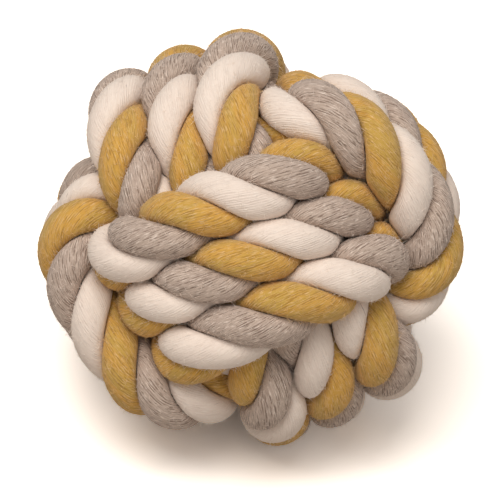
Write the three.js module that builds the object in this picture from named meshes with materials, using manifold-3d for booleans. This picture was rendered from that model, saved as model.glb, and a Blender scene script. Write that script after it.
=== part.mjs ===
// Rope ball dog toy: one thick cotton rope of three coloured strands, knotted into a monkey's fist.
// Three bands of three turns lock each other, and both rope ends are tucked into the hollow middle,
// each bound with a whipping of twine. Millimetres, +Z up, the ball rests on the floor at z = 0.
import * as THREE from 'three';
import { mergeVertices } from 'three/addons/utils/BufferGeometryUtils.js';
import Module from 'manifold-3d';

// Driving sizes of the rope
const STRAND_DIAMETER = 12.6; // one strand where nothing presses on it
const STRAND_PRESS = 0.591; // how near the three strands are pressed, 1 where round ones just touch
const STRAND_ORBIT = (STRAND_PRESS * STRAND_DIAMETER) / Math.sqrt(3); // rope's centre to a strand's
const LAY_LENGTH = 38.3; // rope length in which a strand winds once around the rope
const STRAND_GAP = 0.7; // kept clear between pressed strands

// Driving sizes of the knot
const ROPE_SPACING = 17; // from one turn of rope to the next, side by side
const LAYER_SPACING = 16; // from a turn to the one that crosses over it
const TURN_DEPTH = 2 * ROPE_SPACING; // ball centre to a turn where it lies under the next band
const TURN_REACH = TURN_DEPTH + LAYER_SPACING; // ball centre to a turn where it lies on top
const TURN_SQUARENESS = 3.2; // 2 is an ellipse, more makes the turns boxier
const LANE_SHRINK = 0.055; // a turn on an outer lane is a little smaller, so that the band is crowned

// Driving sizes of the bound rope ends
const WHIPPING_LENGTH = 9; // width of the binding along the rope
const WHIPPING_THICKNESS = 1.4; // twine thickness
const WHIPPING_CLEARANCE = 0.35; // between the binding and the strands in it
const WHIPPING_SQUEEZE = 0.72; // how far the binding draws the rope in
const WHIPPING_TAPER = 13.5; // rope length in which the rope swells out again beyond the binding
const WHIPPING_SETBACK = 1.5; // bare rope left between the binding and the cut end

// How the ball lies on the floor, in degrees
const FRONT_ROLL = 21; // the front band climbs to the right
const FRONT_DROP = 7; // the front face looks a little downwards from the viewing line
const REST_LEAN = 6.5; // roll that brings the resting lumps underneath
const REST_TIP = 35; // the ball tips back so that its front face looks up
const REST_CUT = 2.4; // the lumps are pressed flat this far where they stand

// Mesh fineness
const SEEN_RINGS_PER_LAY = 9.8; // rings of a strand in one lay, where the rope is seen
const HIDDEN_RINGS_PER_LAY = 5.6; // the same inside the ball
const SEEN_FROM = TURN_DEPTH + LAYER_SPACING / 2; // ball centre to the innermost rope that is seen
const CORNER_ANGLES = [-90, -45, 0, 45, 90, 180]; // corners of a ring, from the side that faces out
const SIDES = CORNER_ANGLES.length;
const CORNER_SWELL = 1.08; // corners stand out by as much as the facets between them fall in
const FACING = 0.7; // how firmly that side of the rings is turned away from the ball's centre
const EDGE_ROUNDING = 7; // the more, the sharper the edge where a strand is pressed flat
const PRESS_SPAN = 0.55; // share of the way between rings over which a ring feels its neighbours
const SUB_POINTS = 4; // points from ring to ring, where the strands are measured against each other
const PATH_STEP = 0.85; // rope length between two points of the measured centre line
const KNOT_STEP = 4.8; // rope length between two points of the rope while it is drawn tight
const POINTS_PER_SPAN = 16; // how many points a smooth curve has for each of its given points
const BAND_STEP = 22.5; // degrees of turn between two route points
const WHIPPING_SIDES = 16; // facets around the binding
const GAP_CELL = 4; // cell of the grid in which gaps are looked for
const GAP_POINTS = 3; // gap points along each edge of a facet
const SAME_POINT = 1e-4; // corners nearer than this are one corner

// Turn angles in degrees and lanes in rope spacings: how far a turn has moved across its band there.
// The first band goes up the front and over the top, from the right lane to the left one.
const FIRST_BAND = [
  [-112, 1.1], [-90, 1.25], [-45, 1.45], [0, 0.75], [45, 0.45], [90, 0.9], [180, 0.95], [270, 0.25],
  [315, 0.38], [360, -0.2], [405, -0.65], [450, -0.1], [540, -0.05], [630, -0.7], [675, -0.6],
  [720, -1.15], [765, -1.45], [810, -1], [855, -1.3],
];
// The second band crosses the front to the right, from the bottom lane to the top one.
const SECOND_BAND = [
  [-90, -1.25], [-45, -1.15], [0, -0.9], [45, -0.7], [90, -0.75], [180, -0.5], [270, -0.25],
  [315, -0.15], [360, 0.1], [405, 0.25], [450, 0.15], [540, 0.5], [630, 0.75], [675, 0.85],
  [720, 1.1], [742, 1.1],
];
// The third band goes up the left, under the first band at the top and down the right, from the back
// lane to the front one.
const THIRD_BAND = [
  [170, 1], [270, 1], [360, 0.95], [430, 0.5], [465, -0.6], [487, -1.3], [500, -1], [520, -0.65],
  [540, -0.35], [580, -0.1], [630, 0], [720, -0.05], [780, -0.8], [820, -1.5], [847, -2.4],
  [862, -2.35], [877, -2.2], [895, -1.75], [910, -1.45], [945, -1.45], [990, -1.1], [1030, -1.55],
  [1057, -1.65], [1075, -1.4], [1104, -1.45], [1125, -1.35],
];

// Stretches between and beyond the bands, chosen by hand, in rope spacings from the ball's centre
const START_TUCK = [
  [-0.85, -0.5, -0.6], [-0.35, 0.25, -0.6], [0.45, 0.75, -0.65], [1, 1.2, -1.1], [1.3, 1.6, -1.8],
];
const FIRST_TO_SECOND = [[-1.85, 1.75, -0.6], [-2, 1.15, -1.2]];
const SECOND_TO_THIRD = [
  [1.45, -2.25, 0.95], [1.55, -1.7, 0.75], [1.55, -1, 0.7], [1.65, -0.3, 0.85], [1.9, 0.45, 1.15],
  [2.1, 1.05, 1.42], [2.4, 1.35, 1.05],
];
const END_TUCK = [
  [-0.9, -1.2, 1.25], [-0.3, -0.95, 0.85], [0.3, -0.5, 0.6], [0.75, 0.1, 0.55], [0.9, 0.75, 0.6],
];

// Where the mustard strand comes to the top of the rope, by band and turn angle
const MUSTARD_CRESTS = [
  ['first', -49], ['first', 44], ['first', 95], ['first', 300], ['first', 400], ['first', 451],
  ['first', 640], ['first', 772], ['first', 823],
  ['second', 10], ['second', 358], ['second', 708],
  ['third', 488], ['third', 534], ['third', 877], ['third', 924], ['third', 1055], ['third', 1104],
];

// How the rope is drawn tight: share of a point's way moved in each pass
const TIGHTEN_PASSES = 260;
const TENSION = 0.06;
const PUSH = 0.5;
const HOLD = 0.006; // back to its place in the route
const TIGHT_SPACING = 0.93; // least distance between turns, in rope spacings
const BEND_FREE = 1.5; // rope this near along itself doesn't push itself, in rope spacings
const SMOOTH_PASSES = 3;

const degrees = THREE.MathUtils.degToRad;
const wasm = await Module();
wasm.setup();

// Value at x of a line through [x, y] pairs
function interpolate(pairs, x) {
  const last = pairs.length - 1;
  let i = 0;
  while (i < last - 1 && x > pairs[i + 1][0]) i += 1;
  const [x0, y0] = pairs[i];
  const [x1, y1] = pairs[i + 1];
  const share = Math.min(1, Math.max(0, (x - x0) / (x1 - x0)));
  return y0 + (y1 - y0) * share;
}

// Distance from the ball's centre to a turn: a rounded box, far on the reach side, near on the depth side
function turnRadius(towardsDepth, towardsReach) {
  const depth = (Math.abs(towardsDepth) / TURN_DEPTH) ** TURN_SQUARENESS;
  const reach = (Math.abs(towardsReach) / TURN_REACH) ** TURN_SQUARENESS;
  return (depth + reach) ** (-1 / TURN_SQUARENESS);
}

// Point of a band's turn at a turn angle, on a lane
function bandPoint(band, angle, lane) {
  const cos = Math.cos(degrees(angle));
  const sin = Math.sin(degrees(angle));
  const offset = lane * ROPE_SPACING;
  const shrink = 1 - LANE_SHRINK * lane * lane;
  if (band === 'first') {
    const r = turnRadius(cos, sin) * shrink;
    return new THREE.Vector3(offset, -r * cos, r * sin);
  }
  if (band === 'second') {
    const r = turnRadius(sin, cos) * shrink;
    return new THREE.Vector3(r * sin, -r * cos, offset);
  }
  const r = turnRadius(sin, cos) * shrink;
  return new THREE.Vector3(-r * cos, offset, r * sin);
}

// Route points in order along the rope, each with its band and turn angle where it has them
function ropeRoute() {
  const route = [];
  const addStretch = (points) => {
    for (const p of points) route.push({ point: new THREE.Vector3(...p).multiplyScalar(ROPE_SPACING) });
  };
  const addBand = (band, lanes) => {
    const first = lanes[0][0];
    const last = lanes[lanes.length - 1][0];
    const steps = Math.round((last - first) / BAND_STEP);
    for (let i = 0; i <= steps; i += 1) {
      const angle = first + ((last - first) * i) / steps;
      route.push({ point: bandPoint(band, angle, interpolate(lanes, angle)), band, angle });
    }
  };
  addStretch(START_TUCK);
  addBand('first', FIRST_BAND);
  addStretch(FIRST_TO_SECOND);
  addBand('second', SECOND_BAND);
  addStretch(SECOND_TO_THIRD);
  addBand('third', THIRD_BAND);
  addStretch(END_TUCK);
  return route;
}

// Smooth curve through points (uniform Catmull-Rom), with the same number of points in each span
function smoothCurve(points, perSpan) {
  const before = points[0].clone().multiplyScalar(2).sub(points[1]);
  const end = points.length - 1;
  const after = points[end].clone().multiplyScalar(2).sub(points[end - 1]);
  const padded = [before, ...points, after];
  const curve = [];
  for (let i = 0; i < end; i += 1) {
    const [p0, p1, p2, p3] = padded.slice(i, i + 4);
    for (let k = 0; k < perSpan; k += 1) {
      const u = k / perSpan;
      const u2 = u * u;
      const u3 = u2 * u;
      const p = new THREE.Vector3();
      p.addScaledVector(p0, 0.5 * (-u + 2 * u2 - u3));
      p.addScaledVector(p1, 0.5 * (2 - 5 * u2 + 3 * u3));
      p.addScaledVector(p2, 0.5 * (u + 4 * u2 - 3 * u3));
      p.addScaledVector(p3, 0.5 * (u3 - u2));
      curve.push(p);
    }
  }
  curve.push(points[end].clone());
  return curve;
}

// Length along a line of points, from its start to each point
function runningLength(points) {
  const length = [0];
  for (let i = 1; i < points.length; i += 1) {
    length.push(length[i - 1] + points[i].distanceTo(points[i - 1]));
  }
  return length;
}

// Evenly spaced points on a line of points
function evenPoints(points, count) {
  const length = runningLength(points);
  const total = length[length.length - 1];
  const even = [];
  let i = 0;
  for (let k = 0; k <= count; k += 1) {
    const want = (total * k) / count;
    while (i < points.length - 2 && length[i + 1] < want) i += 1;
    const share = (want - length[i]) / (length[i + 1] - length[i]);
    even.push(points[i].clone().lerp(points[i + 1], Math.min(1, share)));
  }
  return even;
}

// Draws the knot tight: turns that are too near push apart, tension straightens the rope, and a slight
// pull holds each point near its place in the route
function drawTight(points) {
  const count = points.length;
  const free = Math.round((BEND_FREE * ROPE_SPACING) / KNOT_STEP);
  const least = TIGHT_SPACING * ROPE_SPACING;
  let rope = points;
  for (let pass = 0; pass < TIGHTEN_PASSES; pass += 1) {
    const push = rope.map(() => new THREE.Vector3());
    const touching = new Array(count).fill(0);
    for (let i = 0; i < count; i += 1) {
      for (let j = i + free + 1; j < count; j += 1) {
        const apart = rope[i].distanceTo(rope[j]);
        if (apart >= least) continue;
        const way = rope[i].clone().sub(rope[j]).setLength(least - apart);
        push[i].add(way);
        push[j].sub(way);
        touching[i] += 1;
        touching[j] += 1;
      }
    }
    rope = rope.map((p, i) => {
      const moved = p.clone().addScaledVector(push[i], PUSH / Math.max(1, touching[i]));
      moved.addScaledVector(points[i].clone().sub(p), HOLD);
      if (i === 0 || i === count - 1) return moved;
      const middle = rope[i - 1].clone().add(rope[i + 1]).multiplyScalar(0.5);
      return moved.addScaledVector(middle.sub(p), TENSION);
    });
  }
  for (let pass = 0; pass < SMOOTH_PASSES; pass += 1) {
    rope = rope.map((p, i) => {
      if (i === 0 || i === count - 1) return p;
      return p.clone().multiplyScalar(2).add(rope[i - 1]).add(rope[i + 1]).multiplyScalar(0.25);
    });
  }
  return rope;
}

// The rope's centre line with, at each point, its direction and two steady directions across it
function ropeLine() {
  const route = ropeRoute();
  const rough = smoothCurve(route.map((r) => r.point), POINTS_PER_SPAN);
  const roughLength = runningLength(rough);
  const roughTotal = roughLength[roughLength.length - 1];
  const knotCount = Math.round(roughTotal / KNOT_STEP);
  const tight = drawTight(evenPoints(rough, knotCount));
  const fine = smoothCurve(tight, POINTS_PER_SPAN);
  const fineLength = runningLength(fine);
  const total = fineLength[fineLength.length - 1];
  const box = new THREE.Box3().setFromPoints(fine);
  const middle = box.getCenter(new THREE.Vector3());
  const centres = evenPoints(fine, Math.round(total / PATH_STEP)).map((p) => p.sub(middle));
  const along = centres.map((_, i) => {
    const next = centres[Math.min(i + 1, centres.length - 1)];
    return next.clone().sub(centres[Math.max(i - 1, 0)]).normalize();
  });
  const across = [new THREE.Vector3().crossVectors(along[0], new THREE.Vector3(0, 0, 1)).normalize()];
  for (let i = 1; i < centres.length; i += 1) {
    const carried = across[i - 1].clone();
    across.push(carried.addScaledVector(along[i], -carried.dot(along[i])).normalize());
  }
  const beside = along.map((t, i) => new THREE.Vector3().crossVectors(t, across[i]));
  // Length along the tight rope at a turn angle of a band
  const lengthAt = (band, angle) => {
    const pairs = [];
    route.forEach((r, i) => {
      if (r.band !== band) return;
      const knot = (roughLength[i * POINTS_PER_SPAN] / roughTotal) * knotCount;
      const low = Math.min(Math.floor(knot), knotCount - 1);
      const a = fineLength[low * POINTS_PER_SPAN];
      const b = fineLength[(low + 1) * POINTS_PER_SPAN];
      pairs.push([r.angle, a + (b - a) * (knot - low)]);
    });
    return interpolate(pairs, angle);
  };
  return { centres, along, across, beside, lengthAt, total };
}

// Angle of the mustard strand around the rope at each point of its centre line
function ropeTwist(rope) {
  const step = rope.total / (rope.centres.length - 1);
  const full = 2 * Math.PI;
  const knots = [];
  const crests = MUSTARD_CRESTS.map(([band, angle]) => rope.lengthAt(band, angle)).sort((a, b) => a - b);
  for (const length of crests) {
    const i = Math.round(length / step);
    const centre = rope.centres[i];
    const outward = Math.atan2(centre.dot(rope.beside[i]), centre.dot(rope.across[i]));
    const before = knots[knots.length - 1];
    const steady = before ? before[1] + (full * (length - before[0])) / LAY_LENGTH : outward;
    knots.push([length, outward + full * Math.round((steady - outward) / full)]);
  }
  const first = knots[0];
  const last = knots[knots.length - 1];
  knots.unshift([0, first[1] - (full * first[0]) / LAY_LENGTH]);
  knots.push([rope.total, last[1] + (full * (rope.total - last[0])) / LAY_LENGTH]);
  return rope.centres.map((_, i) => interpolate(knots, i * step));
}

// The binding draws the rope in near both ends
function squeezeAt(length, total) {
  const fromEnd = Math.min(length, total - length);
  const share = THREE.MathUtils.smoothstep(fromEnd, WHIPPING_LENGTH, WHIPPING_LENGTH + WHIPPING_TAPER);
  return WHIPPING_SQUEEZE + (1 - WHIPPING_SQUEEZE) * share;
}

// Points of the centre line at which the strands have a ring: close together where the rope is seen
function ringPlaces(rope) {
  const step = rope.total / (rope.centres.length - 1);
  const places = [];
  let due = 1;
  rope.centres.forEach((centre, i) => {
    if (due >= 1) {
      places.push(i);
      due -= 1;
    }
    const perLay = centre.length() > SEEN_FROM ? SEEN_RINGS_PER_LAY : HIDDEN_RINGS_PER_LAY;
    due += (step * perLay) / LAY_LENGTH;
  });
  places[places.length - 1] = rope.centres.length - 1;
  return places;
}

// Rings of one strand: centre, direction along the strand, and two directions across it, of which one
// faces away from the ball's centre
function strandRings(rope, twist, strandIndex) {
  const step = rope.total / (rope.centres.length - 1);
  const rings = [];
  for (const i of ringPlaces(rope)) {
    const length = i * step;
    const angle = twist[i] - (strandIndex * 2 * Math.PI) / STRAND_NAMES.length;
    const out = rope.across[i].clone().multiplyScalar(Math.cos(angle));
    out.addScaledVector(rope.beside[i], Math.sin(angle));
    const squeeze = squeezeAt(length, rope.total);
    const centre = rope.centres[i].clone().addScaledVector(out, STRAND_ORBIT * squeeze);
    rings.push({ centre, out, length, radius: (STRAND_DIAMETER / 2) * squeeze * CORNER_SWELL });
  }
  rings.forEach((ring, k) => {
    const next = rings[Math.min(k + 1, rings.length - 1)].centre;
    ring.along = next.clone().sub(rings[Math.max(k - 1, 0)].centre).normalize();
    ring.out = k > 0 ? rings[k - 1].out.clone() : ring.out;
    ring.out.addScaledVector(ring.centre, FACING / TURN_REACH);
    ring.out.addScaledVector(ring.along, -ring.out.dot(ring.along)).normalize();
    ring.side = new THREE.Vector3().crossVectors(ring.along, ring.out);
  });
  return rings;
}

// Points on the straight pieces between rings, for measuring how near the strands come to each other
function strandSamples(strands) {
  const samples = [];
  strands.forEach((rings, strand) => {
    for (let k = 0; k < rings.length - 1; k += 1) {
      for (let s = 0; s < SUB_POINTS; s += 1) {
        const share = s / SUB_POINTS;
        const point = rings[k].centre.clone().lerp(rings[k + 1].centre, share);
        const length = THREE.MathUtils.lerp(rings[k].length, rings[k + 1].length, share);
        samples.push({ point, strand, length });
      }
    }
  });
  return samples;
}

// Two places on one strand that are so near along it don't press on each other
function isNearAlong(lengthA, lengthB) {
  return Math.abs(lengthA - lengthB) < BEND_FREE * ROPE_SPACING;
}

// A strand keeps to its own half of the space between it and each strand beside it, which is measured
// at the ring and on the way to the rings before and after it
function pressedCorners(strands, samples) {
  const reach = STRAND_DIAMETER;
  const shares = Array.from({ length: SUB_POINTS + 1 }, (_, i) => (i / SUB_POINTS - 0.5) * PRESS_SPAN);
  strands.forEach((rings, strand) => {
    rings.forEach((ring, k) => {
      const ways = CORNER_ANGLES.map((angle) => {
        const way = ring.out.clone().multiplyScalar(Math.cos(degrees(angle)));
        return way.addScaledVector(ring.side, Math.sin(degrees(angle)));
      });
      const planes = new Array(SIDES).fill(Infinity);
      const before = rings[Math.max(k - 1, 0)].centre;
      const after = rings[Math.min(k + 1, rings.length - 1)].centre;
      for (const share of shares) {
        const centre = ring.centre.clone().lerp(share < 0 ? before : after, Math.abs(share));
        for (const sample of samples) {
          if (sample.strand === strand && isNearAlong(sample.length, ring.length)) continue;
          const dx = sample.point.x - centre.x;
          const dy = sample.point.y - centre.y;
          const dz = sample.point.z - centre.z;
          const apart2 = dx * dx + dy * dy + dz * dz;
          if (apart2 > reach * reach) continue;
          ways.forEach((way, side) => {
            const towards = way.x * dx + way.y * dy + way.z * dz;
            if (towards > 0) planes[side] = Math.min(planes[side], apart2 / (2 * towards) - STRAND_GAP / 2);
          });
        }
      }
      ring.corners = ways.map((way, side) => {
        const rounded = ring.radius ** -EDGE_ROUNDING + planes[side] ** -EDGE_ROUNDING;
        return ring.centre.clone().addScaledVector(way, rounded ** (-1 / EDGE_ROUNDING));
      });
    });
  });
}

// A closed tube through the rings of one strand, with flat ends
function strandGeometry(rings) {
  const positions = [];
  const indices = [];
  rings.forEach((ring) => ring.corners.forEach((c) => positions.push(c.x, c.y, c.z)));
  for (let k = 0; k < rings.length - 1; k += 1) {
    for (let side = 0; side < SIDES; side += 1) {
      const next = (side + 1) % SIDES;
      const a = k * SIDES + side;
      const b = k * SIDES + next;
      const [low, high] = [rings[k].corners, rings[k + 1].corners];
      const risingIsShort = low[side].distanceTo(high[next]) < low[next].distanceTo(high[side]);
      if (risingIsShort) indices.push(a, b, b + SIDES, a, b + SIDES, a + SIDES);
      else indices.push(a, b, a + SIDES, b, b + SIDES, a + SIDES);
    }
  }
  const end = (rings.length - 1) * SIDES;
  for (let side = 1; side < SIDES - 1; side += 1) {
    indices.push(0, side + 1, side);
    indices.push(end, end + side, end + side + 1);
  }
  const geometry = new THREE.BufferGeometry();
  geometry.setAttribute('position', new THREE.Float32BufferAttribute(positions, 3));
  geometry.setIndex(indices);
  return geometry;
}

// Points spread over the facets of a strand
function surfacePoints(rings, strand) {
  const points = [];
  for (let k = 0; k < rings.length - 1; k += 1) {
    for (let side = 0; side < SIDES; side += 1) {
      const next = (side + 1) % SIDES;
      for (let u = 0; u < GAP_POINTS; u += 1) {
        for (let v = 0; v < GAP_POINTS; v += 1) {
          const low = rings[k].corners[side].clone().lerp(rings[k].corners[next], u / GAP_POINTS);
          const high = rings[k + 1].corners[side].clone().lerp(rings[k + 1].corners[next], u / GAP_POINTS);
          points.push({ point: low.lerp(high, v / GAP_POINTS), strand, length: rings[k].length });
        }
      }
    }
  }
  return points;
}

// Least gap between strands, and of a strand to its own other turns, on points of their surfaces
function leastGap(strands) {
  const steps = [-1, 0, 1];
  const grid = new Map();
  let least = Infinity;
  for (const here of strands.flatMap(surfacePoints)) {
    const [i, j, k] = here.point.toArray().map((x) => Math.floor(x / GAP_CELL));
    const around = steps.flatMap((a) => steps.flatMap((b) => steps.map((c) => [i + a, j + b, k + c])));
    for (const other of around.flatMap((cell) => grid.get(cell.join()) ?? [])) {
      if (other.strand === here.strand && isNearAlong(other.length, here.length)) continue;
      least = Math.min(least, other.point.distanceTo(here.point));
    }
    const cell = [i, j, k].join();
    if (!grid.has(cell)) grid.set(cell, []);
    grid.get(cell).push(here);
  }
  return least;
}

// A band of twine around a rope end: its hole clears the strands that it binds. With room to spare
// around it, it is the seat that the turns beside it leave free.
function whippingGeometry(rope, strands, atStart, spare = 0) {
  const line = atStart ? rope.centres : [...rope.centres].reverse();
  const bound = WHIPPING_SETBACK + WHIPPING_LENGTH;
  const foot = line[0];
  const axis = line[Math.round(bound / PATH_STEP)].clone().sub(foot).normalize();
  let hole = 0;
  for (const rings of strands) {
    for (let k = 1; k < rings.length; k += 1) {
      const fromEnd = atStart ? rings[k - 1].length : rope.total - rings[k].length;
      if (fromEnd > bound) continue;
      rings[k].corners.forEach((corner, side) => {
        for (let s = 0; s <= SUB_POINTS; s += 1) {
          const from = corner.clone().lerp(rings[k - 1].corners[side], s / SUB_POINTS).sub(foot);
          const along = from.dot(axis);
          if (along > bound + WHIPPING_CLEARANCE) continue;
          hole = Math.max(hole, from.addScaledVector(axis, -along).length());
        }
      });
    }
  }
  const inner = hole + WHIPPING_CLEARANCE;
  const outer = inner + WHIPPING_THICKNESS + spare;
  const bevel = WHIPPING_THICKNESS / 3;
  const low = WHIPPING_SETBACK - spare;
  const high = WHIPPING_SETBACK + WHIPPING_LENGTH + spare;
  const profile = [
    [inner, low], [outer - bevel, low], [outer, low + bevel],
    [outer, high - bevel], [outer - bevel, high], [inner, high], [inner, low],
  ];
  const outline = profile.map(([r, y]) => new THREE.Vector2(r, y));
  const geometry = new THREE.LatheGeometry(outline, WHIPPING_SIDES);
  const turn = new THREE.Quaternion().setFromUnitVectors(new THREE.Vector3(0, 1, 0), axis);
  geometry.applyQuaternion(turn);
  geometry.translate(foot.x, foot.y, foot.z);
  return geometry;
}

function toSolid(geometry) {
  const bare = geometry.clone();
  bare.deleteAttribute('normal');
  bare.deleteAttribute('uv');
  const merged = mergeVertices(bare, SAME_POINT);
  const vertProperties = new Float32Array(merged.attributes.position.array);
  const triVerts = new Uint32Array(merged.index.array);
  return new wasm.Manifold(new wasm.Mesh({ numProp: 3, vertProperties, triVerts }));
}

function toGeometry(solid) {
  const mesh = solid.getMesh();
  const geometry = new THREE.BufferGeometry();
  geometry.setAttribute('position', new THREE.BufferAttribute(mesh.vertProperties, 3));
  geometry.setIndex(new THREE.BufferAttribute(mesh.triVerts, 1));
  geometry.computeVertexNormals();
  return geometry;
}

// Largest body of a solid, without the chips that a cut leaves
function largestBody(solid) {
  return solid.decompose().reduce((a, b) => (a.volume() > b.volume() ? a : b));
}

// Turns the knot from its own axes to the way it lies on the floor
function restTurn() {
  const aboutView = new THREE.Vector3(0, -1, 0);
  const aboutRight = new THREE.Vector3(1, 0, 0);
  const turn = new THREE.Matrix4().makeRotationAxis(aboutView, degrees(FRONT_ROLL));
  turn.premultiply(new THREE.Matrix4().makeRotationAxis(aboutRight, degrees(FRONT_DROP)));
  turn.premultiply(new THREE.Matrix4().makeRotationAxis(aboutView, degrees(REST_LEAN)));
  turn.premultiply(new THREE.Matrix4().makeRotationAxis(aboutRight, degrees(-REST_TIP)));
  return turn;
}

// Strands in the order in which they follow each other around the rope
const STRAND_NAMES = ['mustard_strand', 'white_strand', 'grey_strand'];

const FINISHES = {
  mustard_strand: { color: 0xc9a04e, roughness: 0.95, metalness: 0 },
  white_strand: { color: 0xefe4d8, roughness: 0.95, metalness: 0 },
  grey_strand: { color: 0xb5a496, roughness: 0.95, metalness: 0 },
  start_whipping: { color: 0xd9cdbb, roughness: 0.9, metalness: 0 },
  end_whipping: { color: 0xd9cdbb, roughness: 0.9, metalness: 0 },
};

const rope = ropeLine();
const twist = ropeTwist(rope);
const strands = STRAND_NAMES.map((_, index) => strandRings(rope, twist, index));
pressedCorners(strands, strandSamples(strands));
const geometries = {};
STRAND_NAMES.forEach((name, index) => {
  geometries[name] = strandGeometry(strands[index]);
});
geometries.start_whipping = whippingGeometry(rope, strands, true);
geometries.end_whipping = whippingGeometry(rope, strands, false);
const seats = [true, false].map((atStart) => whippingGeometry(rope, strands, atStart, WHIPPING_CLEARANCE));
console.log(`rope length ${rope.total.toFixed(0)} mm`);
console.log(`least gap of the strands ${leastGap(strands).toFixed(2)} mm`);

// Lays the knot down with its lowest lump a little under the floor
const turn = restTurn();
const extent = new THREE.Box3();
for (const geometry of Object.values(geometries)) {
  geometry.applyMatrix4(turn);
  geometry.computeBoundingBox();
  extent.union(geometry.boundingBox);
}
const centre = extent.getCenter(new THREE.Vector3());
const lay = (geometry) => geometry.translate(-centre.x, -centre.y, -extent.min.z - REST_CUT);
const seatSolids = seats.map((seat) => toSolid(lay(seat.applyMatrix4(turn))));

// Presses flat what would reach below the floor, and presses the turns clear of the bindings
const size = extent.getSize(new THREE.Vector3());
const floorBlock = new THREE.BoxGeometry(size.x, size.y, REST_CUT).translate(0, 0, -REST_CUT / 2);
const floor = toSolid(floorBlock);
const toy = new THREE.Group();
for (const [name, geometry] of Object.entries(geometries)) {
  let solid = toSolid(lay(geometry)).subtract(floor);
  if (STRAND_NAMES.includes(name)) {
    for (const seat of seatSolids) solid = solid.subtract(seat);
  }
  const mesh = new THREE.Mesh(toGeometry(largestBody(solid)), new THREE.MeshStandardMaterial(FINISHES[name]));
  mesh.name = name;
  toy.add(mesh);
}

export default toy;
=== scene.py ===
# %% [markdown]
# # A rope ball for a dog
# The toy is one thick cotton rope, knotted into the round knot that sailors call a monkey's fist. The
# rope is laid from three strands: mustard, white and heather grey. A ball like this could be sculpted
# as lumps, but then no strand could be followed from turn to turn. Here the rope is really tied: its
# route is worked out first, then it is drawn tight, and three soft strands are wound along it.

# %% Load the frame
import bpy
import numpy as np
from mathutils import Matrix, Vector


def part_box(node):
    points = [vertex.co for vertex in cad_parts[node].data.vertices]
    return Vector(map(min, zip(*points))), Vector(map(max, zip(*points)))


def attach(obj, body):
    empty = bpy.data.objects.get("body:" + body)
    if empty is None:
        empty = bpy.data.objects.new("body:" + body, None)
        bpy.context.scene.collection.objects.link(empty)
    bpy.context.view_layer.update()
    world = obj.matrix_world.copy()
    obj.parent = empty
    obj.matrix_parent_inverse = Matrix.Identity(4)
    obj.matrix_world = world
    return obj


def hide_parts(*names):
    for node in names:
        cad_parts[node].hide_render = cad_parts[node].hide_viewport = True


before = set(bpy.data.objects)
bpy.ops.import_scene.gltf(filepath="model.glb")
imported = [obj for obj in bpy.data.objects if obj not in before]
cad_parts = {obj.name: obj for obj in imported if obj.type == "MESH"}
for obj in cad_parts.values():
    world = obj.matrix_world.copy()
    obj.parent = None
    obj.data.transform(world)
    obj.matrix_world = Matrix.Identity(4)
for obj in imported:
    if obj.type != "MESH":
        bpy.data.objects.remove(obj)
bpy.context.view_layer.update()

# %% [markdown]
# ## The route of the rope
# A monkey's fist has three bands of three turns, each band wrapped around the one before. A turn is
# an angle that runs on from turn to turn, and a lane that says how far across its band the rope has
# moved by then. Both tables are the ones that the model's solids follow, so that the strands lie
# where the solids are. Each turn is a rounded box: far from the middle where it lies on top of
# another band, and near to it where it dives under one.

# %% Sizes of the rope and the knot, in metres
ROPE_SPACING = 0.017
LAYER_SPACING = 0.016
TURN_DEPTH = 2 * ROPE_SPACING
TURN_REACH = TURN_DEPTH + LAYER_SPACING
TURN_SQUARENESS = 3.2
LANE_SHRINK = 0.055
BAND_STEP = 22.5

FIRST_BAND = [
    [-112, 1.1], [-90, 1.25], [-45, 1.45], [0, 0.75], [45, 0.45], [90, 0.9], [180, 0.95], [270, 0.25],
    [315, 0.38], [360, -0.2], [405, -0.65], [450, -0.1], [540, -0.05], [630, -0.7], [675, -0.6],
    [720, -1.15], [765, -1.45], [810, -1], [855, -1.3],
]
SECOND_BAND = [
    [-90, -1.25], [-45, -1.15], [0, -0.9], [45, -0.7], [90, -0.75], [180, -0.5], [270, -0.25],
    [315, -0.15], [360, 0.1], [405, 0.25], [450, 0.15], [540, 0.5], [630, 0.75], [675, 0.85],
    [720, 1.1], [742, 1.1],
]
THIRD_BAND = [
    [170, 1], [270, 1], [360, 0.95], [430, 0.5], [465, -0.6], [487, -1.3], [500, -1], [520, -0.65],
    [540, -0.35], [580, -0.1], [630, 0], [720, -0.05], [780, -0.8], [820, -1.5], [847, -2.4],
    [862, -2.35], [877, -2.2], [895, -1.75], [910, -1.45], [945, -1.45], [990, -1.1], [1030, -1.55],
    [1057, -1.65], [1075, -1.4], [1104, -1.45], [1125, -1.35],
]
BANDS = {"first": FIRST_BAND, "second": SECOND_BAND, "third": THIRD_BAND}

START_TUCK = [
    [-0.85, -0.5, -0.6], [-0.35, 0.25, -0.6], [0.45, 0.75, -0.65], [1, 1.2, -1.1], [1.3, 1.6, -1.8],
]
FIRST_TO_SECOND = [[-1.85, 1.75, -0.6], [-2, 1.15, -1.2]]
SECOND_TO_THIRD = [
    [1.45, -2.25, 0.95], [1.55, -1.7, 0.75], [1.55, -1, 0.7], [1.65, -0.3, 0.85], [1.9, 0.45, 1.15],
    [2.1, 1.05, 1.42], [2.4, 1.35, 1.05],
]
END_TUCK = [
    [-0.9, -1.2, 1.25], [-0.3, -0.95, 0.85], [0.3, -0.5, 0.6], [0.75, 0.1, 0.55], [0.9, 0.75, 0.6],
]


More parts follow.
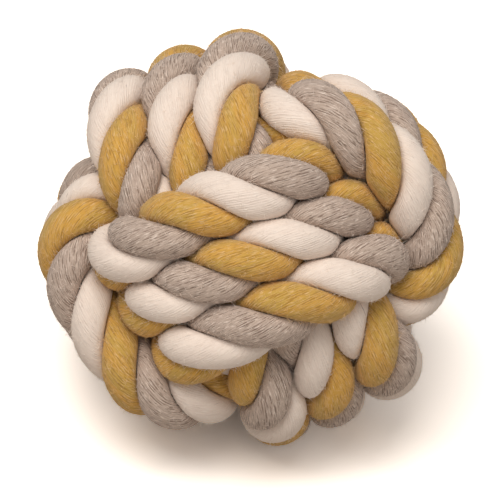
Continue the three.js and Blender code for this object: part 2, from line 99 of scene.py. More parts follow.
def band_points(band):
    """Route points of one band and their turn angles: radius = (|x/depth|^n + |y/reach|^n)^(-1/n)."""
    table = np.array(BANDS[band])
    steps = int(np.floor((table[-1, 0] - table[0, 0]) / BAND_STEP + 0.5))
    angle = np.linspace(table[0, 0], table[-1, 0], steps + 1)
    lane = np.interp(angle, table[:, 0], table[:, 1])
    cos, sin = np.cos(np.radians(angle)), np.sin(np.radians(angle))
    deep, far = (cos, sin) if band == "first" else (sin, cos)
    depth = (np.abs(deep) / TURN_DEPTH) ** TURN_SQUARENESS
    reach = (np.abs(far) / TURN_REACH) ** TURN_SQUARENESS
    radius = (depth + reach) ** (-1 / TURN_SQUARENESS) * (1 - LANE_SHRINK * lane**2)
    across = lane * ROPE_SPACING
    places = {
        "first": (across, -radius * cos, radius * sin),
        "second": (radius * sin, -radius * cos, across),
        "third": (-radius * cos, across, radius * sin),
    }
    return np.stack(places[band], 1), angle


def knot_route():
    """All route points in order, and for each band the numbers of its points and their turn angles."""
    stretches = {
        "first": np.array(START_TUCK),
        "second": np.array(FIRST_TO_SECOND),
        "third": np.array(SECOND_TO_THIRD),
    }
    points, turns = [], {}
    for band, stretch in stretches.items():
        on_band, angle = band_points(band)
        points.append(stretch * ROPE_SPACING)
        start = sum(len(p) for p in points)
        turns[band] = (np.arange(start, start + len(angle)), angle)
        points.append(on_band)
    points.append(np.array(END_TUCK) * ROPE_SPACING)
    return np.vstack(points), turns


ROUTE, TURNS = knot_route()
print("route points", len(ROUTE))

# %% [markdown]
# ## Drawing the knot tight
# The route only says which way the rope goes. On the real toy the rope is then pulled tight, until
# turns that are too near have pushed each other aside. The same is done here with points along the
# rope: in each pass near points push apart, tension pulls every point towards the middle of its two
# neighbours, and a slight pull keeps it near its place in the route. A physics simulation could do it
# too, but this takes a few seconds and gives the same knot each time.

# %% Tighten the rope
KNOT_STEP = 0.0048
PATH_STEP = 0.00085
POINTS_PER_SPAN = 16
TIGHTEN_PASSES = 260
TENSION = 0.06
PUSH = 0.5
HOLD = 0.006
TIGHT_SPACING = 0.93
BEND_FREE = 1.5
SMOOTH_PASSES = 3


def smooth_curve(points, per_span):
    """A uniform Catmull-Rom curve through the points, with the same number of points in each span."""
    ends = (2 * points[0] - points[1], 2 * points[-1] - points[-2])
    padded = np.vstack([ends[0], points, ends[1]])
    count = len(points) - 1
    u = (np.arange(per_span) / per_span)[None, :, None]
    p0, p1, p2, p3 = (padded[i:count + i, None, :] for i in range(4))
    curve = 0.5 * (-u + 2 * u**2 - u**3) * p0
    curve = curve + 0.5 * (2 - 5 * u**2 + 3 * u**3) * p1
    curve = curve + 0.5 * (u + 4 * u**2 - 3 * u**3) * p2
    curve = curve + 0.5 * (u**3 - u**2) * p3
    return np.vstack([curve.reshape(-1, 3), points[-1:]])


def running_length(points):
    """Length along the points, from the first to each."""
    steps = np.linalg.norm(np.diff(points, axis=0), axis=1)
    return np.concatenate([[0], np.cumsum(steps)])


def even_points(points, count):
    """count + 1 evenly spaced points on the line through the points."""
    length = running_length(points)
    want = np.linspace(0, length[-1], count + 1)
    return np.stack([np.interp(want, length, points[:, axis]) for axis in range(3)], 1)


def draw_tight(rope):
    """Pushes apart what is nearer than the least spacing and lets tension straighten the rest."""
    route = rope
    number = np.arange(len(rope))
    free = int(np.floor(BEND_FREE * ROPE_SPACING / KNOT_STEP + 0.5))
    may_touch = np.abs(number[:, None] - number[None, :]) > free
    least = TIGHT_SPACING * ROPE_SPACING
    for _ in range(TIGHTEN_PASSES):
        square = (rope**2).sum(1)
        apart_squared = square[:, None] + square[None, :] - 2 * rope @ rope.T
        i, j = np.nonzero(may_touch & (apart_squared < least**2))
        way = rope[i] - rope[j]
        apart = np.linalg.norm(way, axis=1)
        way = way * ((least - apart) / apart)[:, None]
        push = np.stack([np.bincount(i, way[:, axis], len(rope)) for axis in range(3)], 1)
        touching = np.maximum(np.bincount(i, minlength=len(rope)), 1)
        pull = np.zeros_like(rope)
        pull[1:-1] = (rope[:-2] + rope[2:]) / 2 - rope[1:-1]
        rope = rope + PUSH * push / touching[:, None] + TENSION * pull + HOLD * (route - rope)
    for _ in range(SMOOTH_PASSES):
        rope[1:-1] = (rope[:-2] + 2 * rope[1:-1] + rope[2:]) / 4
    return rope


ROUGH = smooth_curve(ROUTE, POINTS_PER_SPAN)
ROUGH_LENGTH = running_length(ROUGH)
KNOT_COUNT = int(np.floor(ROUGH_LENGTH[-1] / KNOT_STEP + 0.5))
FINE = smooth_curve(draw_tight(even_points(ROUGH, KNOT_COUNT)), POINTS_PER_SPAN)
FINE_LENGTH = running_length(FINE)
ROPE_LENGTH = FINE_LENGTH[-1]
CENTRES = even_points(FINE, int(np.floor(ROPE_LENGTH / PATH_STEP + 0.5)))
CENTRES = CENTRES - (FINE.min(0) + FINE.max(0)) / 2
print("rope length", round(ROPE_LENGTH, 3), "m in", len(CENTRES), "points")

# %% [markdown]
# ## Winding the strands
# Three strands wind around the rope's middle line like the stripes of a candy cane, to the right as
# on most rope. Where the mustard strand comes to the top of a turn is known in a few places, and
# between them the winding is steady. Directions across the rope are carried along it without
# turning, so that the winding is counted from something that doesn't twist by itself.

# %% Wind three strands along the rope
STRAND_DIAMETER = 0.0126
STRAND_PRESS = 0.591
STRAND_ORBIT = STRAND_PRESS * STRAND_DIAMETER / np.sqrt(3)
LAY_LENGTH = 0.0383
WHIPPING_LENGTH = 0.009
WHIPPING_TAPER = 0.0135
WHIPPING_SQUEEZE = 0.72
STRANDS = ["mustard", "white", "grey"]
MUSTARD_CRESTS = {
    "first": [-49, 44, 95, 300, 400, 451, 640, 772, 823],
    "second": [10, 358, 708],
    "third": [488, 534, 877, 924, 1055, 1104],
}


def unit(vectors):
    """Each vector at length one."""
    return vectors / np.linalg.norm(vectors, axis=-1, keepdims=True)


def directions_along(points):
    """Direction of a line at each point: from the point before to the point after."""
    ahead = np.vstack([points[1:], points[-1:]])
    behind = np.vstack([points[:1], points[:-1]])
    return unit(ahead - behind)


def steady_frame(along):
    """Two directions across a line at each point, carried from point to point without turning."""
    across = np.empty_like(along)
    carried = np.cross(along[0], (0, 0, 1))
    for i, direction in enumerate(along):
        carried = carried - direction * (carried @ direction)
        carried = carried / np.sqrt(carried @ carried)
        across[i] = carried
    return across, np.cross(along, across)


def length_at(band, angle):
    """Length along the tight rope at a turn angle of a band."""
    numbers, angles = TURNS[band]
    knot = ROUGH_LENGTH[numbers * POINTS_PER_SPAN] / ROUGH_LENGTH[-1] * KNOT_COUNT
    length = np.interp(knot, np.arange(KNOT_COUNT + 1), FINE_LENGTH[::POINTS_PER_SPAN])
    return np.interp(angle, angles, length)


ALONG = directions_along(CENTRES)
ACROSS, BESIDE = steady_frame(ALONG)
STATION = np.linspace(0, ROPE_LENGTH, len(CENTRES))


def mustard_angle():
    """Angle of the mustard strand around the rope: outwards at each crest, steady in between."""
    full = 2 * np.pi
    crests = sorted(length_at(band, a) for band, turns in MUSTARD_CRESTS.items() for a in turns)
    lengths, angles = [], []
    for length in crests:
        i = int(np.floor(length / ROPE_LENGTH * (len(CENTRES) - 1) + 0.5))
        outward = np.arctan2(CENTRES[i] @ BESIDE[i], CENTRES[i] @ ACROSS[i])
        steady = outward
        if lengths:
            steady = angles[-1] + full * (length - lengths[-1]) / LAY_LENGTH
        lengths.append(length)
        angles.append(outward + full * np.floor((steady - outward) / full + 0.5))
    angles = [angles[0] - full * lengths[0] / LAY_LENGTH] + angles
    angles = angles + [angles[-1] + full * (ROPE_LENGTH - lengths[-1]) / LAY_LENGTH]
    return np.interp(STATION, [0] + lengths + [ROPE_LENGTH], angles)


def squeeze():
    """How far the bindings draw the rope in: fully at both ends, not at all beyond their taper."""
    share = np.clip((np.minimum(STATION, ROPE_LENGTH - STATION) - WHIPPING_LENGTH) / WHIPPING_TAPER, 0, 1)
    return WHIPPING_SQUEEZE + (1 - WHIPPING_SQUEEZE) * share**2 * (3 - 2 * share)


TWIST = mustard_angle()
SQUEEZE = squeeze()


def strand_line(index):
    """Middle line of one strand, and the direction from the rope's middle out to it."""
    angle = TWIST - index * 2 * np.pi / len(STRANDS)
    out = np.cos(angle)[:, None] * ACROSS + np.sin(angle)[:, None] * BESIDE
    return CENTRES + out * (STRAND_ORBIT * SQUEEZE)[:, None], out


# %% [markdown]
# ## Laying the knot down
# The knot lies on the floor a little rolled and tipped back, on the lumps that carry it. The turn is
# the model's own. Its place comes from the model too: the two bindings inside the ball are rings, and
# the middle of such a ring is known both here and in the frame.

# %% Turn and place
FRONT_ROLL = 21
FRONT_DROP = 7
REST_LEAN = 6.5
REST_TIP = 35
WHIPPING_SETBACK = 0.0015
WHIPPING_NODES = {"start": "start_whipping", "end": "end_whipping"}


def rest_turn():
    """Roll, drop, lean and tip, one after the other, as one 3 by 3 turn."""
    view, right = Vector((0, -1, 0)), Vector((1, 0, 0))
    turn = Matrix.Rotation(np.radians(-REST_TIP), 3, right)
    turn = turn @ Matrix.Rotation(np.radians(REST_LEAN), 3, view)
    turn = turn @ Matrix.Rotation(np.radians(FRONT_DROP), 3, right)
    turn = turn @ Matrix.Rotation(np.radians(FRONT_ROLL), 3, view)
    return np.array(turn)


def binding_axis(end):
    """Foot of the binding at a rope end and the direction into the rope, in the knot's own frame."""
    inside = int(np.floor((WHIPPING_SETBACK + WHIPPING_LENGTH) / PATH_STEP + 0.5))
    line = CENTRES if end == "start" else CENTRES[::-1]
    return line[0], unit(line[inside] - line[0])


TURN = rest_turn()
BINDING_MIDDLE = WHIPPING_SETBACK + WHIPPING_LENGTH / 2


def knot_place():
    """Where the knot's middle lies on the floor, from the middles of the model's two bindings."""
    moves = []
    for end, node in WHIPPING_NODES.items():
        foot, axis = binding_axis(end)
        low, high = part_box(node)
        moves.append((np.array(low) + np.array(high)) / 2 - TURN @ (foot + axis * BINDING_MIDDLE))
    print("place agrees to", round(float(np.ptp(moves, axis=0).max()) * 1000, 3), "mm")
    return np.mean(moves, axis=0)


PLACE = knot_place()


def lay_down(points):
    """Points of the knot's own frame where they lie on the floor."""
    return points @ TURN.T + PLACE


print("knot middle at", PLACE.round(4).tolist())

# %% [markdown]
# ## Soft strands
# A cotton strand is round only where nothing touches it. In the tight knot each strand is squashed
# against its neighbours, and both give way alike, so that the contact lies half way between them.
# That gives a formula: looking from a strand's middle in some direction, the surface is either at the
# free radius or at the plane half way to a neighbour, whichever is nearer, with the edge rounded off.
# A blur then softens the surface, but never past a contact plane, so that no strand cuts into the next.
# Slow waves in the thickness keep the strands from looking machined.

# %% Shape the strands
SIDES = 28
CONTACT_GAP = 0.00014
EDGE_ROUNDING = 7
LEAST_RADIUS = 0.0005
BLUR_PASSES = 2
PRESS_REACH = 0.0145
SAMPLE_EVERY = 2
BLOCK = 96
SLOW_WAVES = [(0.083, 0.012, 0), (0.031, 0.010, 1), (0.019, 0.008, 2), (0.0113, 0.006, 3)]

LINES = [strand_line(index) for index in range(len(STRANDS))]
SAMPLES = np.vstack([line[::SAMPLE_EVERY] for line, _ in LINES])
SAMPLE_STRAND = np.repeat(np.arange(len(STRANDS)), len(LINES[0][0][::SAMPLE_EVERY]))
SAMPLE_STATION = np.tile(STATION[::SAMPLE_EVERY], len(STRANDS))


def half_way(middle, ways, skip):
    """Distance along each way to the nearest plane half way to a sample: d.d / (2 way.d)."""
    apart = SAMPLES[None] - middle[:, None]
    square = (apart**2).sum(2)
    square[skip] = np.inf
    count = int((square < PRESS_REACH**2).sum(1).max())
    near = np.argpartition(square, count, axis=1)[:, :count]
    square = np.take_along_axis(square, near, 1)
    apart = np.take_along_axis(apart, near[:, :, None], 1)
    towards = ways @ apart.transpose(0, 2, 1)
    plane = square[:, None, :] / (2 * np.maximum(towards, 1e-9))
    return plane.min(2)


def soften(field, passes):
    """Blurs a field over station and side: a quarter, a half and a quarter of each neighbour."""
    for _ in range(passes):
        field = (np.roll(field, 1, 1) + 2 * field + np.roll(field, -1, 1)) / 4
        field[1:-1] = (field[:-2] + 2 * field[1:-1] + field[2:]) / 4
    return field


def slow_waves(seed, around):
    """Gentle lumps of a hand-laid strand: a few waves along it and around it, at random phases.

    A wave is its length in metres, its height as a share of the radius and its turns around the strand.
    """
    rng = np.random.default_rng(seed)
    field = np.zeros((len(STATION), len(around)))
    for wave, height, turns in SLOW_WAVES:
        for sign in (-1, 1):
            phase = rng.uniform(0, 2 * np.pi)
            field += height * np.cos(2 * np.pi * STATION[:, None] / wave + sign * turns * around + phase)
    return field


def strand_surface(index):
    """Points of a strand on a grid of stations and sides. Side 0 faces the rope's middle."""
    middle, out = LINES[index]
    along = directions_along(middle)
    out = unit(out - along * (out * along).sum(1, keepdims=True))
    side = np.cross(along, out)
    around = np.pi + 2 * np.pi * np.arange(SIDES) / SIDES
    ways = np.cos(around)[None, :, None] * out[:, None] + np.sin(around)[None, :, None] * side[:, None]
    plane = np.empty((len(middle), SIDES))
    for start in range(0, len(middle), BLOCK):
        rows = slice(start, start + BLOCK)
        apart = np.abs(SAMPLE_STATION[None] - STATION[rows, None])
        skip = (SAMPLE_STRAND[None] == index) & (apart < BEND_FREE * ROPE_SPACING)
        plane[rows] = half_way(middle[rows], ways[rows], skip)
    free = STRAND_DIAMETER / 2 * SQUEEZE[:, None] * (1 + slow_waves(index, around))
    plane = np.maximum(plane - CONTACT_GAP, LEAST_RADIUS)
    radius = (free**-EDGE_ROUNDING + plane**-EDGE_ROUNDING) ** (-1 / EDGE_ROUNDING)
    radius = np.minimum(soften(radius, BLUR_PASSES), plane)
    points = lay_down((middle[:, None] + ways * radius[:, :, None]).reshape(-1, 3))
    points[:, 2] = np.maximum(points[:, 2], 0)
    return points


def tube_faces(stations, sides):
    """Four-sided faces of a closed tube, one for each step along and around it."""
    i, m = np.meshgrid(np.arange(stations - 1), np.arange(sides), indexing="ij")
    n = (m + 1) % sides
    corners = (i * sides + m, i * sides + n, (i + 1) * sides + n, (i + 1) * sides + m)
    return np.stack(corners, -1).reshape(-1, 4)


def tube_piece(name, points, sides, length):
    """A capped tube as an object, with its own map: once around, and metres along."""
    stations = len(points) // sides
    quads = tube_faces(stations, sides)
    caps = [list(range(sides - 1, -1, -1)), list(range((stations - 1) * sides, stations * sides))]
    mesh = bpy.data.meshes.new(name)
    mesh.from_pydata(points.tolist(), [], quads.tolist() + caps)
    i, m = np.divmod(np.arange(len(quads)), sides)
    u = np.stack([m, m + 1, m + 1, m], 1) / sides
    v = np.stack([length[i], length[i], length[i + 1], length[i + 1]], 1)
    uv = np.zeros((len(mesh.loops), 2))
    uv[:quads.size] = np.stack([u.ravel(), v.ravel()], 1)
    mesh.uv_layers.new(name="strand").uv.foreach_set("vector", uv.astype(np.float32).ravel())
    mesh.polygons.foreach_set("use_smooth", np.ones(len(mesh.polygons), dtype=bool))
    mesh.update()
    piece = bpy.data.objects.new(name, mesh)
    bpy.context.collection.objects.link(piece)
    return piece


STRAND_PIECES = {}
SURFACES = {}
for index, colour in enumerate(STRANDS):
    SURFACES[colour] = strand_surface(index)
    piece = tube_piece(f"{colour}_cotton_strand", SURFACES[colour], SIDES, STATION)
    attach(piece, "root")
    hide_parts(f"{colour}_strand")
    STRAND_PIECES[colour] = piece
    print(piece.name, len(piece.data.polygons), "faces")

# %% [markdown]
# ## Loose fibres
# Spun cotton is never quite smooth: short fibres stand off it everywhere and soften its outline. Each
# one is a narrow ribbon of two pieces that starts on a strand, leans some way and bends a little. They
# grow only on what faces out of the ball. A particle system would do it too, but a plain mesh is the
# same in every program.

# %% Scatter the loose fibres
FIBRE_COUNT = 42000
FIBRE_PIECES = 2
FIBRE_WIDTH = 0.00008
FIBRE_TAPER = 0.7
FIBRE_LENGTHS = (0.0005, 0.0018)
FIBRE_LIFT = (0.2, 1.0)
FIBRE_BEND = 0.5
FIBRE_LOWEST = 0.0001
OUTSIDE_FROM = 0.043


def strand_ways(grid):
    """Directions along and around a strand and out of it, for all stations but the first and last."""
    inner = grid[1:-1]
    along = unit(grid[2:] - grid[:-2])
    around = unit(np.roll(inner, -1, 1) - np.roll(inner, 1, 1))
    outward = np.cross(along, around)
    from_line = inner - inner.mean(1, keepdims=True)
    outward = outward * np.sign((outward * from_line).sum(2, keepdims=True))
    return along, around, outward


def loose_fibres(colour, seed):
    """Ribbons from random places on the outside: root + length * (t * way + t^2 * bend)."""
    rng = np.random.default_rng(seed)
    grid = SURFACES[colour].reshape(len(STATION), SIDES, 3)
    along, around, outward = strand_ways(grid)
    from_middle = grid[1:-1] - PLACE
    is_outside = np.linalg.norm(from_middle, axis=2) > OUTSIDE_FROM
    faces_out = (outward * from_middle).sum(2) > 0
    places = np.argwhere(is_outside & faces_out)
    i, m = places[rng.integers(len(places), size=FIBRE_COUNT)].T
    heading = rng.uniform(0, 2 * np.pi, (FIBRE_COUNT, 1))
    lift = rng.uniform(*FIBRE_LIFT, (FIBRE_COUNT, 1))
    way = unit(np.cos(heading) * along[i, m] + np.sin(heading) * around[i, m] + lift * outward[i, m])
    bend = rng.uniform(-FIBRE_BEND, FIBRE_BEND, (FIBRE_COUNT, 1, 3))
    t = np.linspace(0, 1, FIBRE_PIECES + 1)[None, :, None]
    length = rng.uniform(*FIBRE_LENGTHS, (FIBRE_COUNT, 1, 1))
    line = grid[1:-1][i, m][:, None] + length * (t * way[:, None] + t**2 * bend)
    flat = unit(np.cross(way, rng.normal(size=(FIBRE_COUNT, 3))))[:, None]
    half = flat * FIBRE_WIDTH / 2 * (1 - FIBRE_TAPER * t)
    points = np.stack([line - half, line + half], 2).reshape(-1, 3)
    points[:, 2] = np.maximum(points[:, 2], FIBRE_LOWEST)
    rung = np.arange(FIBRE_COUNT)[:, None] * (FIBRE_PIECES + 1) + np.arange(FIBRE_PIECES)
    quads = 2 * rung.reshape(-1, 1) + np.array([0, 1, 3, 2])
    mesh = bpy.data.meshes.new(f"{colour}_loose_fibres")
    mesh.from_pydata(points.tolist(), [], quads.tolist())
    piece = bpy.data.objects.new(mesh.name, mesh)
    bpy.context.collection.objects.link(piece)
    return piece


FIBRE_SETS = {}
for seed, colour in enumerate(STRANDS):
    piece = loose_fibres(colour, seed)
    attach(piece, "root")
    FIBRE_SETS[colour] = piece
    print(piece.name, len(piece.data.polygons), "faces")

# %% [markdown]
# ## Bindings on the rope ends
# Both rope ends are tucked into the hollow of the knot. So that the strands don't unlay there, each
# end is bound with twine, turn beside turn. A binding is a tube along a helix: a circle around the
# rope's end that moves one twine thickness along it in each turn.

# %% Wind the bindings
TWINE_THICKNESS = 0.0014
TWINE_SHARE = 0.97
TWINE_SIDES = 8
TWINE_STEPS = 36


def binding_points(end):
    """A helix of twine just outside the bound strands, as a tube: foot + axis * rise + circle."""
    foot, axis = binding_axis(end)
    foot, axis = lay_down(foot[None])[0], TURN @ axis
    low, high = (np.array(corner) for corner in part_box(WHIPPING_NODES[end]))
    spread = np.sqrt(1 - axis**2)
    ring = ((high - low - WHIPPING_LENGTH * np.abs(axis)) / (2 * spread)).mean() - TWINE_THICKNESS / 2
    first = unit(np.cross(axis, (0, 0, 1)))
    second = np.cross(axis, first)
    turns = WHIPPING_LENGTH / TWINE_THICKNESS - 1
    turn = np.linspace(0, 2 * np.pi * turns, int(turns * TWINE_STEPS) + 1)
    outward = np.cos(turn)[:, None] * first + np.sin(turn)[:, None] * second
    rise = WHIPPING_SETBACK + TWINE_THICKNESS / 2 + TWINE_THICKNESS * turn / (2 * np.pi)
    line = foot + rise[:, None] * axis + ring * outward
    around = 2 * np.pi * np.arange(TWINE_SIDES) / TWINE_SIDES
    thick = TWINE_THICKNESS / 2 * TWINE_SHARE
    section = np.cos(around)[None, :, None] * outward[:, None] - np.sin(around)[None, :, None] * axis
    return (line[:, None] + thick * section).reshape(-1, 3), turn * ring


BINDING_PIECES = []
for end, node in WHIPPING_NODES.items():
    points, length = binding_points(end)
    piece = tube_piece(f"{end}_twine_binding", points, TWINE_SIDES, length)
    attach(piece, "root")
    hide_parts(node)
    BINDING_PIECES.append(piece)
    print(piece.name, len(piece.data.polygons), "faces")

# %% [markdown]
# ## Cotton yarn
# Each strand is itself twisted from many fine yarns, the other way round than the rope, so that the
# yarns run nearly straight along the rope. One node group draws them for every strand from the
# strand's own map: the yarn number is the way around plus a twist times the way along. Noise that is
# drawn out along the yarns swings them a little and gives the fibres. The group hands on the height of
# the yarns and four masks: clouds of another tint, dark fibres together with painted shade in the
# grooves between the yarns, pale fibres with a faint painted highlight on the yarn crests, and sparse
# flecks.

# %% The shared yarn group
YARN_COUNT = 52
YARN_TWIST = (1 + STRAND_ORBIT / (STRAND_DIAMETER / 2)) / LAY_LENGTH


class NodeMaker:
    """Adds nodes to one tree and joins them, so that a formula reads as a formula."""

    def __init__(self, tree):
        self.tree = tree

    def add(self, kind, **settings):
        node = self.tree.nodes.new(kind)
        for name, value in settings.items():
            setattr(node, name, value)
        return node

    def put(self, socket, value):
        if isinstance(value, bpy.types.NodeSocket):
            self.tree.links.new(value, socket)
        else:
            socket.default_value = value

    def math(self, operation, *values):
        node = self.add("ShaderNodeMath", operation=operation)
        for socket, value in zip(node.inputs, values):
            self.put(socket, value)
        return node.outputs[0]

    def vector(self, x, y, z):
        node = self.add("ShaderNodeCombineXYZ")
        for socket, value in zip(node.inputs, (x, y, z)):
            self.put(socket, value)
        return node.outputs[0]

    def noise(self, vector):
        node = self.add("ShaderNodeTexNoise")
        self.put(node.inputs["Vector"], vector)
        self.put(node.inputs["Scale"], 1.0)
        return node.outputs["Fac"]

    def ramp(self, value, low, high):
        node = self.add("ShaderNodeMapRange", interpolation_type="SMOOTHSTEP")
        self.put(node.inputs["Value"], value)
        self.put(node.inputs["From Min"], low)
        self.put(node.inputs["From Max"], high)
        return node.outputs["Result"]

    def mix(self, share, first, second):
        node = self.add("ShaderNodeMix", data_type="RGBA")
        self.put(node.inputs["Factor"], share)
        self.put(node.inputs["A"], first)
        self.put(node.inputs["B"], second)
        return node.outputs["Result"]


def yarn_group():
    """Yarn height and four masks from the way around (0 to 1) and along (metres) a strand."""
    tree = bpy.data.node_groups.new("twisted_yarn", "ShaderNodeTree")
    for name in ("Around", "Along", "Yarns", "Twist", "Seed"):
        tree.interface.new_socket(name, in_out="INPUT", socket_type="NodeSocketFloat")
    for name in ("Height", "Cloud", "Dark", "Pale", "Fleck"):
        tree.interface.new_socket(name, in_out="OUTPUT", socket_type="NodeSocketFloat")
    make = NodeMaker(tree)
    given = make.add("NodeGroupInput").outputs
    result = make.add("NodeGroupOutput").inputs
    turned = make.math("MULTIPLY_ADD", given["Along"], given["Twist"], given["Around"])
    straight = make.math("MULTIPLY", turned, given["Yarns"])

    def drawn_out(yarn, width, length, layer):
        """Noise whose grains are so many yarns wide and so many metres long, another in each layer."""
        across = make.math("DIVIDE", yarn, width)
        along = make.math("DIVIDE", given["Along"], length)
        return make.noise(make.vector(across, along, make.math("ADD", given["Seed"], layer)))

    swung = make.math("MULTIPLY_ADD", drawn_out(straight, 9.0, 0.02, 0.0), 2.5, straight)
    yarn = make.math("MULTIPLY_ADD", drawn_out(straight, 2.2, 0.004, 1.3), 0.9, swung)
    ridge = make.math("PINGPONG", yarn, 0.5)
    # shade is noise plus the ridge, so the dark mask below is partly dark fibres and partly painted shade
    # in the grooves between yarns, where the ridge is low
    shade = make.math("MULTIPLY_ADD", ridge, 0.3, drawn_out(yarn, 0.5, 0.0017, 2.6))
    # light is noise plus a little ridge, so the pale mask is partly pale fibres and partly a faint
    # painted highlight on the yarn crests
    light = make.math("MULTIPLY_ADD", ridge, 0.12, drawn_out(yarn, 0.3, 0.0012, 3.9))
    rough = make.math("MULTIPLY_ADD", light, 0.8, shade)
    make.put(result["Height"], make.math("MULTIPLY_ADD", ridge, 0.35, rough))
    make.put(result["Cloud"], make.ramp(drawn_out(yarn, 7.0, 0.012, 5.2), 0.4, 0.62))
    make.put(result["Dark"], make.ramp(shade, 0.57, 0.42))
    make.put(result["Pale"], make.ramp(light, 0.57, 0.70))
    make.put(result["Fleck"], make.ramp(drawn_out(yarn, 0.5, 0.0026, 6.5), 0.715, 0.76))
    return tree


YARN_GROUP = yarn_group()
print("node group", YARN_GROUP.name)

# %% [markdown]
# ## Three colours of cotton, and twine
# The materials share the yarn group and differ in their colours and in how much of each mask they take.
# Through the dark mask each dark colour is also painted as shade into the grooves between the yarns, and
# through the pale mask each pale colour as a faint highlight on their crests.
# Mustard cotton has olive clouds and orange flecks, heather grey is a blend of dark and pale fibres, and
# the white is a warm undyed off-white with few dark flecks. The twine is plain and unbleached. Cotton is
# matt with a little sheen from its fuzz.

# %% Cotton materials
# Each dark colour is laid on dark fibres and as painted shade in the grooves between yarns; each pale
# colour on pale fibres and as a faint painted highlight on the yarn crests.
COTTON = {
    "mustard": {
        "main": (0.66, 0.365, 0.074), "cloud": (0.55, 0.35, 0.08), "dark": (0.34, 0.165, 0.03),
        "pale": (0.80, 0.55, 0.28), "fleck": (0.88, 0.38, 0.03),
    },
    "white": {
        "main": (0.90, 0.765, 0.665), "cloud": (0.86, 0.72, 0.625), "dark": (0.64, 0.50, 0.42),
        "pale": (0.94, 0.84, 0.75), "fleck": (0.40, 0.33, 0.30),
    },
    "grey": {
        "main": (0.53, 0.41, 0.335), "cloud": (0.48, 0.365, 0.30), "dark": (0.21, 0.145, 0.11),
        "pale": (0.80, 0.67, 0.58), "fleck": (0.84, 0.74, 0.65),
    },
    "twine": {
        "main": (0.62, 0.50, 0.38), "cloud": (0.56, 0.44, 0.33), "dark": (0.30, 0.22, 0.15),
        "pale": (0.76, 0.64, 0.50), "fleck": (0.40, 0.30, 0.20),
    },
}
SHARES = {
    "mustard": {"cloud": 0.8, "dark": 0.62, "pale": 0.75, "fleck": 0.6},
    "white": {"cloud": 0.7, "dark": 0.2, "pale": 0.5, "fleck": 0.7},
    "grey": {"cloud": 0.7, "dark": 0.85, "pale": 0.9, "fleck": 0.45},
    "twine": {"cloud": 0.7, "dark": 0.5, "pale": 0.5, "fleck": 0.3},
}
MASKS = {"cloud": "Cloud", "dark": "Dark", "pale": "Pale", "fleck": "Fleck"}


def cotton_material(colour, seed):
    """Main colour with clouds, dark fibres and painted shade in the yarn grooves, pale fibres and a faint
    painted highlight on the yarn crests, and flecks over it, and a bump for the yarns.
    """
    material = bpy.data.materials.new(f"{colour}_cotton")
    material.use_nodes = True
    make = NodeMaker(material.node_tree)
    shader = material.node_tree.nodes["Principled BSDF"]
    place = make.add("ShaderNodeUVMap", uv_map="strand")
    apart = make.add("ShaderNodeSeparateXYZ")
    make.put(apart.inputs[0], place.outputs["UV"])
    yarn = make.add("ShaderNodeGroup", node_tree=YARN_GROUP)
    make.put(yarn.inputs["Around"], apart.outputs["X"])
    make.put(yarn.inputs["Along"], apart.outputs["Y"])
    yarn.inputs["Yarns"].default_value = YARN_COUNT
    yarn.inputs["Twist"].default_value = YARN_TWIST
    yarn.inputs["Seed"].default_value = seed
    shades = {name: (*value, 1.0) for name, value in COTTON[colour].items()}
    body = shades["main"]
    for name, mask in MASKS.items():
        share = make.math("MULTIPLY", yarn.outputs[mask], SHARES[colour][name])
        body = make.mix(share, body, shades[name])
    make.put(shader.inputs["Base Color"], body)
    shader.inputs["Roughness"].default_value = 0.92
    shader.inputs["Specular IOR Level"].default_value = 0.15
    shader.inputs["Sheen Weight"].default_value = 0.15
    shader.inputs["Sheen Roughness"].default_value = 0.6
    bump = make.add("ShaderNodeBump")
    bump.inputs["Strength"].default_value = 0.6
    bump.inputs["Distance"].default_value = 0.0004
    make.put(bump.inputs["Height"], yarn.outputs["Height"])
    make.put(shader.inputs["Normal"], bump.outputs["Normal"])
    return material


def fibre_material(colour):
    """Plain matt cotton for the loose fibres, in the strand's pale colour."""
    material = bpy.data.materials.new(f"{colour}_fibres")
    material.use_nodes = True
    shader = material.node_tree.nodes["Principled BSDF"]
    shader.inputs["Base Color"].default_value = (*COTTON[colour]["pale"], 1.0)
    shader.inputs["Roughness"].default_value = 0.95
    shader.inputs["Specular IOR Level"].default_value = 0.1
    return material


for seed, (colour, piece) in enumerate(STRAND_PIECES.items()):
    piece.data.materials.append(cotton_material(colour, 10.0 * seed))
for colour, piece in FIBRE_SETS.items():
    piece.data.materials.append(fibre_material(colour))
TWINE = cotton_material("twine", 40.0)
for piece in BINDING_PIECES:
    piece.data.materials.append(TWINE)
print("cotton materials", list(COTTON))

# %% [markdown]
# ## Floor, light and camera
# The ball lies on a studio floor. A large soft lamp above it, a weak one in front and the pale world
# light it at a plain level, so that a colour renders about as it is written. More light would make the
# floor white too, but it would bleach the cotton. So the floor has two colours: the one that throws
# light back at the ball, and a brighter one that only the camera and shiny pieces see. It is white where
# nothing shades it, and keeps the soft shadow under the ball. The camera looks at the ball from above
# the front through a long lens, a little rolled.

# %% Floor and world
FLOOR_SIZE = 6.0
FLOOR_COLOUR = (0.44, 0.4, 0.36, 1.0)
# The seen colour is warmer in red than in blue: where the floor is not blown out to white, in the shadow
# under the ball, it paints a warm cast in place of warm bounce light.
SEEN_FLOOR_COLOUR = (1.98, 1.87, 1.76, 1.0)
WORLD_COLOUR = (1.0, 0.98, 0.96, 1.0)
WORLD_STRENGTH = 0.35
WHITE = (1.0, 1.0, 1.0, 1.0)


def seen_ray(make):
    """One for rays from the camera or off a shiny piece, which show what they meet, else zero."""
    rays = make.add("ShaderNodeLightPath").outputs
    shiny = make.math("MAXIMUM", rays["Is Glossy Ray"], rays["Is Transmission Ray"])
    return make.math("MAXIMUM", rays["Is Camera Ray"], shiny)


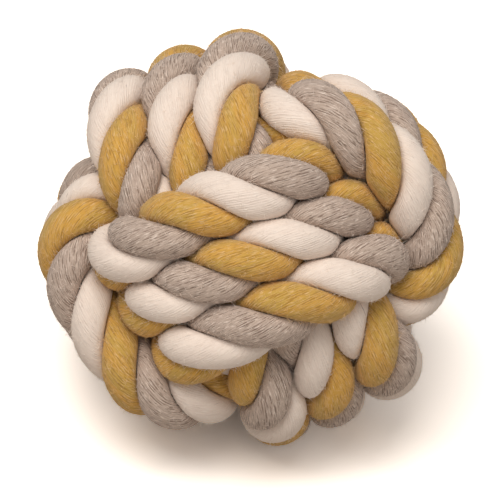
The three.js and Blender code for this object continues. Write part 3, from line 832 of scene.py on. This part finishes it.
def studio_floor():
    """A sheet under the ball. The camera sees it overexposed and tinted warm, so that only the deep shade
    shows, with a painted warm cast in it.
    """
    half = FLOOR_SIZE / 2
    corners = [(-half, -half, 0), (half, -half, 0), (half, half, 0), (-half, half, 0)]
    mesh = bpy.data.meshes.new("studio_floor")
    mesh.from_pydata(corners, [], [(0, 1, 2, 3)])
    floor = bpy.data.objects.new("studio_floor", mesh)
    bpy.context.collection.objects.link(floor)
    material = bpy.data.materials.new("studio_floor")
    material.use_nodes = True
    make = NodeMaker(material.node_tree)
    sheet = make.add("ShaderNodeBsdfDiffuse")
    make.put(sheet.inputs["Color"], make.mix(seen_ray(make), FLOOR_COLOUR, SEEN_FLOOR_COLOUR))
    output = material.node_tree.nodes["Material Output"]
    make.put(output.inputs["Surface"], sheet.outputs["BSDF"])
    mesh.materials.append(material)


def studio_world():
    """Pale light from all around, and pure white where the camera sees it."""
    world = bpy.data.worlds.new("studio_world")
    bpy.context.scene.world = world
    world.use_nodes = True
    make = NodeMaker(world.node_tree)
    sky = world.node_tree.nodes["Background"].inputs
    seen = seen_ray(make)
    make.put(sky["Color"], make.mix(seen, WORLD_COLOUR, WHITE))
    make.put(sky["Strength"], make.math("MULTIPLY_ADD", seen, 1.0 - WORLD_STRENGTH, WORLD_STRENGTH))


studio_floor()
studio_world()
print("floor and world", bpy.context.scene.world.name)

# %% Lamps
LAMPS = {
    "key_lamp": {"place": (-0.25, -0.5, 1.3), "size": 0.95, "power": 14.2, "colour": (1.0, 0.97, 0.93)},
    "fill_lamp": {"place": (0.3, -1.2, 0.7), "size": 1.0, "power": 1.9, "colour": (1.0, 0.98, 0.96)},
}


def soft_lamp(name, place, size, power, colour):
    """A square lamp that looks at the ball's middle."""
    light = bpy.data.lights.new(name, "AREA")
    light.size = size
    light.energy = power
    light.color = colour
    lamp = bpy.data.objects.new(name, light)
    lamp.location = place
    lamp.rotation_euler = (Vector(PLACE) - Vector(place)).to_track_quat("-Z", "Y").to_euler()
    bpy.context.collection.objects.link(lamp)


for name, settings in LAMPS.items():
    soft_lamp(name, **settings)
print("lamps", list(LAMPS))

# %% Camera
IMAGE_SIZE = 500
PIXELS_PER_METRE = 3500
BALL_PIXEL = (252, 238)
CAMERA_DISTANCE = 1.5
SENSOR_WIDTH = 36


def photo_camera():
    """A long lens that sees the ball's middle at its pixel, level with the tip and lean of the ball."""
    tip, roll = np.radians(REST_TIP), np.radians(-REST_LEAN)
    back = np.array([0, -np.cos(tip), np.sin(tip)])
    level_right, level_up = np.array([1, 0, 0]), np.array([0, np.sin(tip), np.cos(tip)])
    right = level_right * np.cos(roll) - level_up * np.sin(roll)
    up = level_up * np.cos(roll) + level_right * np.sin(roll)
    beside = (IMAGE_SIZE / 2 - BALL_PIXEL[0]) / PIXELS_PER_METRE
    above = (BALL_PIXEL[1] - IMAGE_SIZE / 2) / PIXELS_PER_METRE
    target = PLACE + right * beside + up * above
    data = bpy.data.cameras.new("photo_camera")
    data.sensor_width = SENSOR_WIDTH
    data.lens = SENSOR_WIDTH * CAMERA_DISTANCE / (IMAGE_SIZE / PIXELS_PER_METRE)
    camera = bpy.data.objects.new("photo_camera", data)
    axes = np.eye(4)
    axes[:3, :3] = np.stack([right, up, back], 1)
    axes[:3, 3] = target + back * CAMERA_DISTANCE
    camera.matrix_world = Matrix(axes.tolist())
    bpy.context.collection.objects.link(camera)
    bpy.context.scene.camera = camera
    print("lens", round(data.lens, 1), "mm")


photo_camera()
bpy.context.scene.view_settings.view_transform = "Standard"
